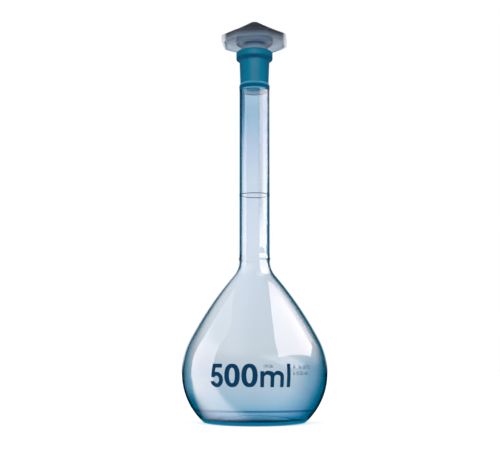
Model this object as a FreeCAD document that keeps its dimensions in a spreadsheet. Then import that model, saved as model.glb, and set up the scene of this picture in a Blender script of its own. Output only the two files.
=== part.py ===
import FreeCAD, Part
import math
import os
import Sketcher
from types import SimpleNamespace

# A 500 ml volumetric flask of clear glass: a blown bulb, a drawn neck tube and a ground socket,
# sealed end to end, with a ring mark on the neck and a hollow plastic stopper in the socket.
# Millimetres, +Z up, with the origin at the centre of the ring that the bulb stands on.

DRIVING_SIZES = (
    ("bulb_radius", 50.0, "widest radius of the bulb"),
    ("belly_height", 33.8, "height of the widest place"),
    ("belly_arc", 49.4, "radius of the wall just above the widest place"),
    ("shoulder_arc", 233.0, "radius of the long, nearly straight shoulder"),
    ("shoulder_rise", 77.2, "height from the widest place to the end of the flare"),
    ("flare_arc", 16.0, "radius of the hollow flare under the neck"),
    ("standing_radius", 33.3, "outer radius of the flat ring that the bulb stands on"),
    ("ring_width", 7.0, "width of that ring"),
    ("heel_arc", 3.0, "outside radius of the heel"),
    ("inner_heel_arc", 7.0, "inside radius of the heel, where the glass is heavy"),
    ("punt_rise", 3.0, "rise of the hollow under the bulb"),
    ("floor_thickness", 1.7, "glass at the middle of the floor"),
    ("bulb_wall", 1.2, "glass in the wall of the bulb"),
    ("neck_radius", 10.7, "outside radius of the neck tube"),
    ("neck_wall", 1.4, "glass in the wall of the neck tube"),
    ("seal_half", 1.2, "half the height of the sealed bead between bulb and neck"),
    ("seal_proud", 0.35, "how far that bead stands out from the neck"),
    ("tube_length", 123.8, "length of the neck tube between its two seals"),
    ("throat_height", 3.0, "height over which the tube's wall thickens to meet the socket"),
    ("throat_wall", 2.8, "glass at the seal between the tube and the socket"),
    ("mark_rise", 45.4, "height of the ring mark above the seal with the bulb"),
    ("mark_width", 0.5, "width of the ring mark"),
    ("mark_thickness", 0.06, "thickness of the ring mark's enamel"),
    ("socket_length", 26.0, "length of the ground socket"),
    ("socket_bore", 9.4, "radius of the ground bore at the rim"),
    ("socket_taper", 10.0, "length of ground cone for each millimetre of diameter"),
    ("waist_height", 2.5, "height of the socket's waist above its seal with the tube"),
    ("waist_wall", 1.875, "glass at the waist"),
    ("socket_wall", 1.65, "glass under the rim"),
    ("rim_wall", 3.65, "glass at the thick rim"),
    ("rim_height", 4.9, "height of the thick rim down to its lower bend"),
    ("rim_bend", 1.0, "radius of the rim's lower bend"),
    ("foot_arc", 1.1, "radius of the hollow bend under the rim"),
    ("ledge_drop", 0.3, "further height between those two bends"),
    ("lip_arc", 1.3, "radius of the rim's upper edge"),
    ("mouth_chamfer", 0.4, "bevel at the mouth of the ground bore"),
    ("plug_gap", 0.05, "clearance of the plug in the ground bore"),
    ("plug_over", 1.0, "how far the plug reaches past the ground bore"),
    ("plug_wall", 1.4, "wall of the hollow plug"),
    ("plug_bevel", 0.6, "bevel at the tip of the plug"),
    ("collar_gap", 6.2, "room between the rim and the stopper's collar"),
    ("collar_step", 3.4, "how far the collar stands out from the plug"),
    ("head_gap", 5.85, "room between the rim and the lower edge of the head"),
    ("head_sides", 8, "number of flats on the head"),
    ("head_flats", 46.2, "width of the head over two flats"),
    ("head_draft", 4.0, "draft of the flats, in degrees"),
    ("head_corner", 6.0, "outside radius of the corners between the flats"),
    ("inner_corner", 4.2, "inside radius of those corners"),
    ("grip_height", 4.6, "height of the flats"),
    ("roof_rise", 11.55, "rise of the roof above the flats"),
    ("roof_arc", 220.0, "radius of the roof's hollow sweep"),
    ("crown_radius", 2.9, "distance of the crown's edge from the middle"),
    ("head_wall", 1.8, "wall of the head"),
    ("stopper_turn", 39.5, "turn of the stopper in the socket, in degrees"),
)


class Size:
    """A number together with the sheet expression that drives it."""

    def __init__(self, value, text):
        self.value = value
        self.text = text

    @staticmethod
    def of(item):
        return item if isinstance(item, Size) else Size(float(item), str(item))

    def __add__(self, other):
        other = Size.of(other)
        return Size(self.value + other.value, f"({self.text} + {other.text})")

    def __sub__(self, other):
        other = Size.of(other)
        return Size(self.value - other.value, f"({self.text} - {other.text})")

    def __mul__(self, other):
        other = Size.of(other)
        return Size(self.value * other.value, f"({self.text} * {other.text})")

    def __truediv__(self, other):
        other = Size.of(other)
        return Size(self.value / other.value, f"({self.text} / {other.text})")


class Edge:
    """One line or arc of a section, with its two ends in the order they were drawn."""

    def __init__(self, number, first_role, last_role):
        self.number = number
        self.first = (number, first_role)
        self.last = (number, last_role)
        self.centre = (number, 3)


class Section:
    """A sketch on one of a body's own planes, drawn at its true size and then dimensioned."""

    ORIGIN = (-1, 1)

    def __init__(self, body, name, plane="XZ_Plane", lift=None):
        self.sketch = body.newObject("Sketcher::SketchObject", name)
        self.sketch.AttachmentSupport = [(origin_feature(body, plane), "")]
        self.sketch.MapMode = "FlatFace"
        if lift:
            self.sketch.setExpression("AttachmentOffset.Base.z", lift.text)
        self.constraints = []
        self.expressions = {}

    def line(self, start, end):
        number = self.sketch.addGeometry(Part.LineSegment(flat(start), flat(end)), False)
        return Edge(number, 1, 2)

    def arc(self, start, end, centre, construction=False):
        radius = math.dist(start, centre)
        start_angle = math.atan2(start[1] - centre[1], start[0] - centre[0])
        end_angle = math.atan2(end[1] - centre[1], end[0] - centre[0])
        circle = Part.Circle(flat(centre), FreeCAD.Vector(0, 0, 1), radius)
        if (end_angle - start_angle) % (2 * math.pi) < math.pi:
            number = self.sketch.addGeometry(Part.ArcOfCircle(circle, start_angle, end_angle), construction)
            return Edge(number, 1, 2)
        number = self.sketch.addGeometry(Part.ArcOfCircle(circle, end_angle, start_angle), construction)
        return Edge(number, 2, 1)

    def circle(self, centre, radius):
        shape = Part.Circle(flat(centre), FreeCAD.Vector(0, 0, 1), radius)
        return Edge(self.sketch.addGeometry(shape, True), 3, 3)

    def point(self, place):
        return Edge(self.sketch.addGeometry(Part.Point(flat(place)), True), 1, 1)

    def rule(self, kind, *references):
        self.constraints.append(Sketcher.Constraint(kind, *references))

    def measure(self, kind, size, *references):
        self.expressions[len(self.constraints)] = size.text
        self.constraints.append(Sketcher.Constraint(kind, *references, size.value))

    def join(self, *edges):
        for before, after in zip(edges, edges[1:]):
            self.rule("Coincident", *before.last, *after.first)

    def blend(self, *edges):
        for before, after in zip(edges, edges[1:]):
            self.rule("Tangent", *before.last, *after.first)

    def across(self, point, size):
        self.measure("DistanceX", size, *self.ORIGIN, *point)

    def up(self, point, size):
        self.measure("DistanceY", size, *self.ORIGIN, *point)

    def down(self, point, size):
        self.measure("DistanceY", size, *point, *self.ORIGIN)

    def radius(self, edge, size):
        self.measure("Radius", size, edge.number)

    def on_axis(self, *points):
        for place in points:
            self.rule("PointOnObject", *place, -2)

    def on_base(self, *points):
        for place in points:
            self.rule("PointOnObject", *place, -1)

    def level(self, point, other):
        self.rule("Horizontal", *point, *other)

    def done(self):
        self.sketch.addConstraint(self.constraints)
        for number, text in self.expressions.items():
            self.sketch.setExpression(f"Constraints[{number}]", text)
        return self.sketch


def flat(place):
    return FreeCAD.Vector(place[0], place[1], 0)


def origin_feature(body, role):
    return next(feature for feature in body.Origin.OriginFeatures if feature.Role == role)


def meet(centre, radius, other, other_radius, side):
    # Where two circles cross: side is 1 to the left of the way from centre to other, -1 to the right
    span = math.dist(centre, other)
    along = (span**2 + radius**2 - other_radius**2) / (2 * span)
    off = side * math.sqrt(radius**2 - along**2)
    east = ((other[0] - centre[0]) / span, (other[1] - centre[1]) / span)
    return (centre[0] + along * east[0] - off * east[1], centre[1] + along * east[1] + off * east[0])


def toward(centre, other, distance):
    span = math.dist(centre, other)
    return tuple(a + (b - a) * distance / span for a, b in zip(centre, other))


def new_body(name, level=None):
    body = doc.addObject("PartDesign::Body", name)
    body.Label = name
    if level:
        body.setExpression("Placement.Base.z", level.text)
    return body


def revolve(body, section, kind="Revolution"):
    feature = body.newObject(f"PartDesign::{kind}", f"{section.sketch.Name}_{kind.lower()}")
    feature.Profile = section.done()
    feature.ReferenceAxis = (section.sketch, ["V_Axis"])
    feature.Angle = 360
    return feature


def wall_curve(section, inset, neck_inset):
    # One face of the bulb's wall from the neck to its widest place, inset from the outside of the glass
    neck = size.neck_radius - neck_inset
    widest = size.bulb_radius - inset
    flare_radius = size.flare_arc + neck_inset
    shoulder_radius = size.shoulder_arc - inset
    belly_radius = size.belly_arc - inset

    flare_end = (neck.value, flare_height.value)
    belly_start = (widest.value, size.belly_height.value)
    flare_centre = (neck.value + flare_radius.value, flare_height.value)
    belly_centre = (widest.value - belly_radius.value, size.belly_height.value)
    shoulder_centre = meet(
        belly_centre, shoulder_radius.value - belly_radius.value,
        flare_centre, shoulder_radius.value + flare_radius.value, 1)
    flare_start = toward(flare_centre, shoulder_centre, flare_radius.value)
    belly_end = toward(shoulder_centre, belly_centre, shoulder_radius.value)

    flare = section.arc(flare_end, flare_start, flare_centre)
    shoulder = section.arc(flare_start, belly_end, shoulder_centre)
    belly = section.arc(belly_end, belly_start, belly_centre)
    section.blend(flare, shoulder, belly)
    section.across(flare.first, neck)
    section.up(flare.first, flare_height)
    section.level(flare.first, flare.centre)
    section.across(belly.last, widest)
    section.up(belly.last, size.belly_height)
    section.level(belly.last, belly.centre)
    section.radius(flare, flare_radius)
    section.radius(shoulder, shoulder_radius)
    section.radius(belly, belly_radius)
    return flare, belly


def build_bulb():
    body = new_body("bulb")
    section = Section(body, "bulb_wall_section")

    # The outside, from the neck down to the heel: the lower wall is the arc that meets the heel smoothly
    flare, belly = wall_curve(section, nothing, nothing)
    widest = (size.bulb_radius.value, size.belly_height.value)
    heel_centre = (size.standing_radius.value, size.heel_arc.value)
    heel_inset = widest[0] - heel_centre[0]
    heel_drop = widest[1] - heel_centre[1]
    under_radius = (heel_inset**2 + heel_drop**2 - heel_centre[1]**2) / (2 * (heel_inset - heel_centre[1]))
    under_centre = (widest[0] - under_radius, widest[1])
    heel_start = toward(under_centre, heel_centre, under_radius)
    ring_outside = (size.standing_radius.value, 0.0)
    ring_inside = ((size.standing_radius - size.ring_width).value, 0.0)
    under = section.arc(widest, heel_start, under_centre)
    heel = section.arc(heel_start, ring_outside, heel_centre)
    ring = section.line(ring_outside, ring_inside)
    section.blend(belly, under, heel, ring)
    section.radius(heel, size.heel_arc)
    section.on_base(ring.first)
    section.across(ring.first, size.standing_radius)
    section.level(ring.first, ring.last)
    section.measure("DistanceX", size.ring_width, *ring.last, *ring.first)

    # The hollow underneath, and the floor's own face that runs alongside it
    punt_top = (0.0, size.punt_rise.value)
    punt_radius = (ring_inside[0]**2 + punt_top[1]**2) / (2 * punt_top[1])
    punt_centre = (0.0, punt_top[1] - punt_radius)
    floor_top = (0.0, punt_top[1] + size.floor_thickness.value)
    floor_radius = punt_radius + size.floor_thickness.value
    punt = section.arc(ring_inside, punt_top, punt_centre)
    axis = section.line(punt_top, floor_top)
    section.join(ring, punt, axis)
    section.on_axis(punt.centre, axis.first, axis.last)
    section.up(axis.first, size.punt_rise)
    section.measure("DistanceY", size.floor_thickness, *axis.first, *axis.last)

    # The inside, from the bore down to the floor
    inner_flare, inner_belly = wall_curve(section, size.bulb_wall, size.neck_wall)
    inner_widest = ((size.bulb_radius - size.bulb_wall).value, widest[1])
    inner_radius = under_radius - size.bulb_wall.value
    corner_radius = size.inner_heel_arc.value
    corner_centre = meet(
        under_centre, inner_radius - corner_radius,
        punt_centre, floor_radius + corner_radius, 1)
    corner_start = toward(under_centre, corner_centre, inner_radius)
    floor_edge = toward(punt_centre, corner_centre, floor_radius)
    inner_under = section.arc(inner_widest, corner_start, under_centre)
    corner = section.arc(corner_start, floor_edge, corner_centre)
    floor = section.arc(floor_edge, floor_top, punt_centre)
    section.blend(inner_belly, inner_under, corner, floor)
    section.rule("Vertical", *inner_under.centre, *under.centre)
    section.radius(corner, size.inner_heel_arc)
    section.rule("Coincident", *floor.centre, *punt.centre)
    section.rule("Coincident", *floor.last, *axis.last)

    # The half of the sealed bead that is the bulb's own
    bore = (size.neck_radius - size.neck_wall).value
    bead_edge = ((size.neck_radius + size.seal_proud).value, seal_height.value)
    bead_end = (size.neck_radius.value, flare_height.value)
    bead = section.arc(bead_edge, bead_end, bead_centre(seal_height.value))
    bore_line = section.line((bore, flare_height.value), (bore, seal_height.value))
    seal = section.line((bore, seal_height.value), bead_edge)
    section.join(bead, flare)
    section.rule("Coincident", *bore_line.first, *inner_flare.first)
    section.join(bore_line, seal, bead)
    section.rule("Vertical", bore_line.number)
    section.rule("Horizontal", seal.number)
    section.up(seal.last, seal_height)
    section.across(seal.last, size.neck_radius + size.seal_proud)
    section.rule("PointOnObject", *bead.centre, seal.number)
    revolve(body, section)
    return body


def bead_centre(seal_level):
    # The sealed bead is one arc over both pieces, so its centre lies level with the seal
    proud = size.seal_proud.value
    radius = (size.seal_half.value**2 + proud**2) / (2 * proud)
    return (size.neck_radius.value + proud - radius, seal_level)


def build_neck_tube():
    body = new_body("neck_tube", seal_height)
    section = Section(body, "neck_wall_section")
    outside = size.neck_radius.value
    bore = (size.neck_radius - size.neck_wall).value
    top = size.tube_length.value
    throat_level = size.tube_length - size.throat_height
    throat = throat_level.value
    bead_edge = ((size.neck_radius + size.seal_proud).value, 0.0)
    bead_end = (outside, size.seal_half.value)

    seal = section.line((bore, 0.0), bead_edge)
    bead = section.arc(bead_edge, bead_end, bead_centre(0.0))
    side = section.line(bead_end, (outside, throat))
    swell = section.line((outside, throat), (throat_outside.value, top))
    end = section.line((throat_outside.value, top), (socket_small_bore.value, top))
    throat_line = section.line((socket_small_bore.value, top), (bore, throat))
    bore_line = section.line((bore, throat), (bore, 0.0))
    section.join(seal, bead, side, swell, end, throat_line, bore_line, seal)
    section.on_base(seal.first, seal.last)
    section.across(seal.first, size.neck_radius - size.neck_wall)
    section.across(seal.last, size.neck_radius + size.seal_proud)
    section.on_base(bead.centre)
    section.across(bead.last, size.neck_radius)
    section.up(bead.last, size.seal_half)
    section.rule("Vertical", side.number)
    section.up(side.last, throat_level)
    section.across(swell.last, throat_outside)
    section.up(swell.last, size.tube_length)
    section.rule("Horizontal", end.number)
    section.across(end.last, socket_small_bore)
    section.rule("Vertical", bore_line.number)
    section.up(bore_line.first, throat_level)
    revolve(body, section)
    return body


def build_ring_mark():
    body = new_body("ring_mark", seal_height + size.mark_rise - size.mark_width / 2)
    section = Section(body, "ring_mark_section")
    inside = size.neck_radius.value
    outside = (size.neck_radius + size.mark_thickness).value
    width = size.mark_width.value
    lower = section.line((inside, 0.0), (outside, 0.0))
    face = section.line((outside, 0.0), (outside, width))
    upper = section.line((outside, width), (inside, width))
    back = section.line((inside, width), (inside, 0.0))
    section.join(lower, face, upper, back, lower)
    section.rule("Horizontal", lower.number)
    section.rule("Horizontal", upper.number)
    section.rule("Vertical", face.number)
    section.rule("Vertical", back.number)
    section.on_base(lower.first)
    section.across(lower.first, size.neck_radius)
    section.measure("DistanceX", size.mark_thickness, *lower.first, *lower.last)
    section.up(face.last, size.mark_width)
    revolve(body, section)
    return body


def ground_bore(height):
    # Radius of the ground cone at a height above the seal with the tube
    return socket_small_bore + height / (size.socket_taper * 2)


def build_ground_socket():
    body = new_body("ground_socket", seal_height + size.tube_length)
    section = Section(body, "socket_wall_section")
    rim_radius = size.socket_bore + size.rim_wall
    bend_level = size.socket_length - size.rim_height
    foot_level = bend_level - size.rim_bend - size.foot_arc - size.ledge_drop
    foot_radius = ground_bore(foot_level) + size.socket_wall
    waist_radius = ground_bore(size.waist_height) + size.waist_wall
    mouth_level = size.socket_length - size.mouth_chamfer
    mouth_radius = size.socket_bore + size.mouth_chamfer

    # The shoulder from the neck tube, the waist and the slightly widening outside
    top = size.socket_length.value
    small = (socket_small_bore.value, 0.0)
    seal_edge = (throat_outside.value, 0.0)
    waist = (waist_radius.value, size.waist_height.value)
    waist_step = seal_edge[0] - waist[0]
    waist_arc = (waist_step**2 + waist[1]**2) / (2 * waist_step)
    foot_end = (foot_radius.value, foot_level.value)
    seal = section.line(small, seal_edge)
    shoulder = section.arc(seal_edge, waist, (seal_edge[0] - waist_arc, 0.0))
    side = section.line(waist, foot_end)
    section.join(seal, shoulder, side)
    section.on_base(seal.first, seal.last)
    section.across(seal.first, socket_small_bore)
    section.across(seal.last, throat_outside)
    section.on_base(shoulder.centre)
    section.across(side.first, waist_radius)
    section.up(side.first, size.waist_height)
    section.across(side.last, foot_radius)
    section.up(side.last, foot_level)

    # The thick rim: a hollow bend, a ledge, a round bend, the side and the lip
    foot_centre = (foot_end[0] + size.foot_arc.value, foot_level.value)
    bend_centre = ((rim_radius - size.rim_bend).value, bend_level.value)
    foot_top, bend_bottom = crossing_tangent(
        foot_centre, size.foot_arc.value, bend_centre, size.rim_bend.value)
    rim_low = (rim_radius.value, bend_level.value)
    rim_high = (rim_radius.value, (size.socket_length - size.lip_arc).value)
    lip_centre = ((rim_radius - size.lip_arc).value, rim_high[1])
    lip_end = (lip_centre[0], top)
    foot = section.arc(foot_end, foot_top, foot_centre)
    ledge = section.line(foot_top, bend_bottom)
    bend = section.arc(bend_bottom, rim_low, bend_centre)
    rim = section.line(rim_low, rim_high)
    lip = section.arc(rim_high, lip_end, lip_centre)
    top_face = section.line(lip_end, (mouth_radius.value, top))
    section.join(side, foot)
    section.blend(foot, ledge, bend, rim, lip, top_face)
    section.level(foot.first, foot.centre)
    section.radius(foot, size.foot_arc)
    section.radius(bend, size.rim_bend)
    section.rule("Vertical", rim.number)
    section.across(rim.first, rim_radius)
    section.up(rim.first, bend_level)
    section.radius(lip, size.lip_arc)
    section.rule("Horizontal", top_face.number)
    section.up(top_face.last, size.socket_length)
    section.across(top_face.last, mouth_radius)

    # The ground bore, bevelled at its mouth
    mouth_inner = (ground_bore(mouth_level).value, mouth_level.value)
    mouth = section.line((mouth_radius.value, top), mouth_inner)
    ground = section.line(mouth_inner, small)
    section.join(top_face, mouth, ground, seal)
    section.across(mouth.last, ground_bore(mouth_level))
    section.up(mouth.last, mouth_level)
    revolve(body, section)
    return body


def crossing_tangent(lower, lower_radius, upper, upper_radius):
    # The line that touches the lower circle on its inner side and the upper one on its outer side
    span = math.dist(lower, upper)
    direction = math.atan2(upper[1] - lower[1], upper[0] - lower[0])
    lean = math.acos((lower_radius + upper_radius) / span)
    angle = direction + lean
    lower_touch = (lower[0] + lower_radius * math.cos(angle), lower[1] + lower_radius * math.sin(angle))
    upper_touch = (upper[0] - upper_radius * math.cos(angle), upper[1] - upper_radius * math.sin(angle))
    return lower_touch, upper_touch


def roof_guide(section):
    # The roof's hollow sweep, from the crown's edge to the top of the flats, drawn for reference
    crown = (size.crown_radius.value, crown_height.value)
    edge = (size.head_flats.value / 2, flats_top.value)
    centre = meet(crown, size.roof_arc.value, edge, size.roof_arc.value, 1)
    guide = section.arc(crown, edge, centre, construction=True)
    section.across(guide.first, size.crown_radius)
    section.up(guide.first, crown_height)
    section.across(guide.last, size.head_flats / 2)
    section.up(guide.last, flats_top)
    section.radius(guide, size.roof_arc)
    return guide, centre


def roof_point(centre, radius, across):
    # The place on an arc about the sweep's centre at a distance from the stopper's axis
    return (across, centre[1] - math.sqrt(radius**2 - (across - centre[0])**2))


def build_stopper():
    body = new_body("stopper", seal_height + size.tube_length + size.socket_length)
    body.Placement.Rotation = FreeCAD.Rotation(FreeCAD.Vector(0, 0, 1), size.stopper_turn.value)
    body.setExpression("Placement.Rotation.Angle", size.stopper_turn.text)

    # The head is a shell, open underneath: its core has the same form, one wall smaller
    head_form(body, "head", nothing, size.head_gap, size.head_corner)
    core = new_body("head_core")
    head_form(core, "core", size.head_wall, size.head_gap - size.head_wall, size.inner_corner)
    shell = body.newObject("PartDesign::Boolean", "head_shell")
    shell.Type = "Cut"
    shell.setObjects([core])
    body.Tip = shell
    doc.recompute()

    body.Tip = revolve(body, plug_section(body))
    doc.recompute()
    body.Tip = revolve(body, plug_bore_section(body), "Groove")
    return body


def head_form(body, name, inset, foot, corner):
    # A drafted prism with rounded corners, its top cut by one hollow sweep for each flat
    prism = body.newObject("PartDesign::Pad", f"{name}_prism")
    prism.Profile = head_outline(body, f"{name}_outline", inset, foot)
    prism.setExpression("Length", (crown_height - foot + size.head_wall).text)
    prism.setExpression("TaperAngle", size.head_draft.text)
    doc.recompute()
    corners = body.newObject("PartDesign::Fillet", f"{name}_corners")
    corners.Base = (prism, upright_edges(prism.Shape))
    corners.setExpression("Radius", corner.text)

    sweep = body.newObject("PartDesign::Pocket", f"{name}_roof_sweep")
    sweep.Profile = roof_sweep_section(body, f"{name}_roof_section", inset)
    sweep.SideType = "Symmetric"
    sweep.setExpression("Length", (size.head_flats * 2).text)
    roof = body.newObject("PartDesign::PolarPattern", f"{name}_roof")
    roof.Originals = [sweep]
    roof.Axis = (origin_feature(body, "Z_Axis"), [""])
    roof.Angle = 360
    roof.setExpression("Occurrences", size.head_sides.text)
    body.Tip = roof
    doc.recompute()


def head_outline(body, name, inset, foot):
    # A regular figure with flats to the left and right, as wide as the drafted head is at its foot
    section = Section(body, name, "XY_Plane", foot)
    sides = int(size.head_sides.value)
    half_step = math.pi / sides
    draft = Size(math.tan(math.radians(size.head_draft.value)), f"tan({size.head_draft.text} * 1 deg)")
    corner_cosine = Size(math.cos(half_step), f"cos(180 deg / {size.head_sides.text})")
    corner_reach = (size.head_flats / 2 - inset - (flats_top - foot) * draft) / corner_cosine
    corners = [
        (corner_reach.value * math.cos(half_step * (2 * step - 1)),
         corner_reach.value * math.sin(half_step * (2 * step - 1)))
        for step in range(sides)]
    flats = [section.line(corners[step], corners[(step + 1) % sides]) for step in range(sides)]
    guide = section.circle((0.0, 0.0), corner_reach.value)
    section.join(*flats, flats[0])
    section.rule("Coincident", *guide.centre, *section.ORIGIN)
    section.radius(guide, corner_reach)
    for flat_side in flats:
        section.rule("PointOnObject", *flat_side.first, guide.number)
    for flat_side in flats[1:]:
        section.rule("Equal", flats[0].number, flat_side.number)
    section.rule("Vertical", flats[0].number)
    return section.done()


def upright_edges(shape):
    return [
        f"Edge{number}" for number, edge in enumerate(shape.Edges, start=1)
        if abs(edge.Vertexes[0].Z - edge.Vertexes[-1].Z) > size.grip_height.value]


def roof_sweep_section(body, name, inset):
    # What is cut away above one flat: from the axis over the crown, then along the hollow sweep
    section = Section(body, name)
    guide, centre = roof_guide(section)
    sweep_radius = size.roof_arc + inset
    beyond = size.head_flats / 2 + size.head_wall
    above = crown_height + size.head_wall * 2
    crown = roof_point(centre, sweep_radius.value, size.crown_radius.value)
    foot = roof_point(centre, sweep_radius.value, beyond.value)
    flat_top = section.line((0.0, crown[1]), crown)
    sweep = section.arc(crown, foot, centre)
    outer = section.line(foot, (beyond.value, above.value))
    top = section.line((beyond.value, above.value), (0.0, above.value))
    axis = section.line((0.0, above.value), (0.0, crown[1]))
    section.join(flat_top, sweep, outer, top, axis, flat_top)
    section.on_axis(axis.first, axis.last)
    section.rule("Horizontal", flat_top.number)
    section.rule("Coincident", *sweep.centre, *guide.centre)
    section.radius(sweep, sweep_radius)
    section.across(sweep.first, size.crown_radius)
    section.across(sweep.last, beyond)
    section.rule("Vertical", outer.number)
    section.rule("Horizontal", top.number)
    section.up(top.first, above)
    return section.done()


def plug_radius(height):
    # Outside radius of the plug at a height above the rim, parallel to the ground bore
    return size.socket_bore - size.plug_gap + height / (size.socket_taper * 2)


def plug_section(body):
    # The plug's cone, and the collar that carries it up into the wall of the roof
    section = Section(body, "plug_section")
    guide, centre = roof_guide(section)
    root_radius = size.roof_arc + size.head_wall / 2
    bevel_depth = plug_depth - size.plug_bevel
    cone_low = plug_radius(nothing - bevel_depth)
    cone_high = plug_radius(size.collar_gap)
    collar_radius = cone_high + size.collar_step
    tip = -plug_depth.value
    tip_edge = ((cone_low - size.plug_bevel).value, tip)
    cone_start = (cone_low.value, -bevel_depth.value)
    cone_end = (cone_high.value, size.collar_gap.value)
    collar_edge = (collar_radius.value, size.collar_gap.value)
    root_outer = roof_point(centre, root_radius.value, collar_radius.value)
    root_inner = roof_point(centre, root_radius.value, size.crown_radius.value)

    end = section.line((0.0, tip), tip_edge)
    bevel = section.line(tip_edge, cone_start)
    cone = section.line(cone_start, cone_end)
    ledge = section.line(cone_end, collar_edge)
    side = section.line(collar_edge, root_outer)
    root = section.arc(root_outer, root_inner, centre)
    cap = section.line(root_inner, (0.0, root_inner[1]))
    axis = section.line((0.0, root_inner[1]), (0.0, tip))
    section.join(end, bevel, cone, ledge, side, root, cap, axis, end)
    section.on_axis(end.first, axis.first)
    section.rule("Horizontal", end.number)
    section.down(end.last, plug_depth)
    section.across(end.last, cone_low - size.plug_bevel)
    section.across(cone.first, cone_low)
    section.down(cone.first, bevel_depth)
    section.across(cone.last, cone_high)
    section.up(cone.last, size.collar_gap)
    section.rule("Horizontal", ledge.number)
    section.across(ledge.last, collar_radius)
    section.rule("Vertical", side.number)
    section.rule("Coincident", *root.centre, *guide.centre)
    section.radius(root, root_radius)
    section.across(root.last, size.crown_radius)
    section.rule("Horizontal", cap.number)
    return section


def plug_bore_section(body):
    # The hollow of the plug, open at the tip and closed by the roof
    section = Section(body, "plug_bore_section")
    guide, centre = roof_guide(section)
    ceiling_radius = size.roof_arc + size.head_wall
    start_depth = plug_depth + size.plug_wall
    start_reach = plug_radius(nothing - start_depth) - size.plug_wall
    rim_reach = plug_radius(nothing) - size.plug_wall
    start = -start_depth.value
    ceiling_inner = roof_point(centre, ceiling_radius.value, size.crown_radius.value)
    ceiling_outer = roof_point(
        centre, ceiling_radius.value, (plug_radius(flats_top) - size.plug_wall).value)

    mouth = section.line((0.0, start), (start_reach.value, start))
    wall = section.line((start_reach.value, start), ceiling_outer)
    ceiling = section.arc(ceiling_outer, ceiling_inner, centre)
    cap = section.line(ceiling_inner, (0.0, ceiling_inner[1]))
    axis = section.line((0.0, ceiling_inner[1]), (0.0, start))
    rim_place = section.point((rim_reach.value, 0.0))
    section.join(mouth, wall, ceiling, cap, axis, mouth)
    section.on_axis(mouth.first, axis.first)
    section.rule("Horizontal", mouth.number)
    section.down(mouth.last, start_depth)
    section.across(mouth.last, start_reach)
    section.on_base(rim_place.first)
    section.across(rim_place.first, rim_reach)
    section.rule("PointOnObject", *rim_place.first, wall.number)
    section.rule("Coincident", *ceiling.centre, *guide.centre)
    section.radius(ceiling, ceiling_radius)
    section.across(ceiling.last, size.crown_radius)
    section.rule("Horizontal", cap.number)
    return section


def check_and_export(bodies):
    doc.recompute()
    for item in doc.Objects:
        if "Invalid" in item.State or "Error" in item.State:
            raise RuntimeError(f"{item.Name} could not be built: {item.State}")
    for body in bodies:
        if body.Shape.isNull() or not body.Shape.isValid():
            raise RuntimeError(f"{body.Label} has no valid shape")
    os.makedirs("parts", exist_ok=True)
    for body in bodies:
        body.Shape.exportStep(f"parts/{body.Label}.step")
        box = body.Shape.BoundBox
        print(f"{body.Label}: {body.Shape.Volume / 1000:.2f} ml of material,"
              f" z {box.ZMin:.2f} to {box.ZMax:.2f}, {box.XLength:.2f} wide")


doc = FreeCAD.newDocument("volumetric_flask")
sheet = doc.addObject("Spreadsheet::Sheet", "sizes")
for row, (alias, value, note) in enumerate(DRIVING_SIZES, start=1):
    sheet.set(f"A{row}", alias)
    sheet.set(f"B{row}", str(value))
    sheet.setAlias(f"B{row}", alias)
    sheet.set(f"C{row}", note)
doc.recompute()
size = SimpleNamespace(**{
    alias: Size(float(sheet.get(alias)), f"sizes.{alias}") for alias, value, note in DRIVING_SIZES})

# Places that two pieces share
nothing = Size.of(0)
flare_height = size.belly_height + size.shoulder_rise
seal_height = flare_height + size.seal_half
socket_small_bore = size.socket_bore - size.socket_length / (size.socket_taper * 2)
throat_outside = socket_small_bore + size.throat_wall
plug_depth = size.socket_length + size.plug_over
flats_top = size.head_gap + size.grip_height
crown_height = flats_top + size.roof_rise

check_and_export([
    build_bulb(),
    build_neck_tube(),
    build_ring_mark(),
    build_ground_socket(),
    build_stopper(),
])
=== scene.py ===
import math
import bmesh
import bpy
from mathutils import Matrix, Vector
from mathutils.geometry import tessellate_polygon


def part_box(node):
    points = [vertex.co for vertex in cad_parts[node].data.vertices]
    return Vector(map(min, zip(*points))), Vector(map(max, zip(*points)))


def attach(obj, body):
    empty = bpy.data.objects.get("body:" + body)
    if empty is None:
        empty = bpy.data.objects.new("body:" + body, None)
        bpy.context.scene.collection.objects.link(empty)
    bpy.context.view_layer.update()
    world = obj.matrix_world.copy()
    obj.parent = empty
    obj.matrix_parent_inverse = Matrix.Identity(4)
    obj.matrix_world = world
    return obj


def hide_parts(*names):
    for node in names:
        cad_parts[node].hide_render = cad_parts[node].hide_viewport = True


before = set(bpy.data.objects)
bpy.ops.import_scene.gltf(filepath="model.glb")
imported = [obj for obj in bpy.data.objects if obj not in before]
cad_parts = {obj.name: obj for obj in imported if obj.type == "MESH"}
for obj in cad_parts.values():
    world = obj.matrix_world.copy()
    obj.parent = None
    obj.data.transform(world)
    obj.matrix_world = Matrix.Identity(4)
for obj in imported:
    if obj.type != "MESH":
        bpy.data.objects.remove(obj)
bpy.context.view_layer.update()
scene = bpy.context.scene
mm = 0.001
tiny = 1e-7  # points closer than this are at one place
white = (1, 1, 1, 1)
sharpAngle = math.radians(32)  # edges that fold more than this stay sharp
print("frame loaded")


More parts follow.
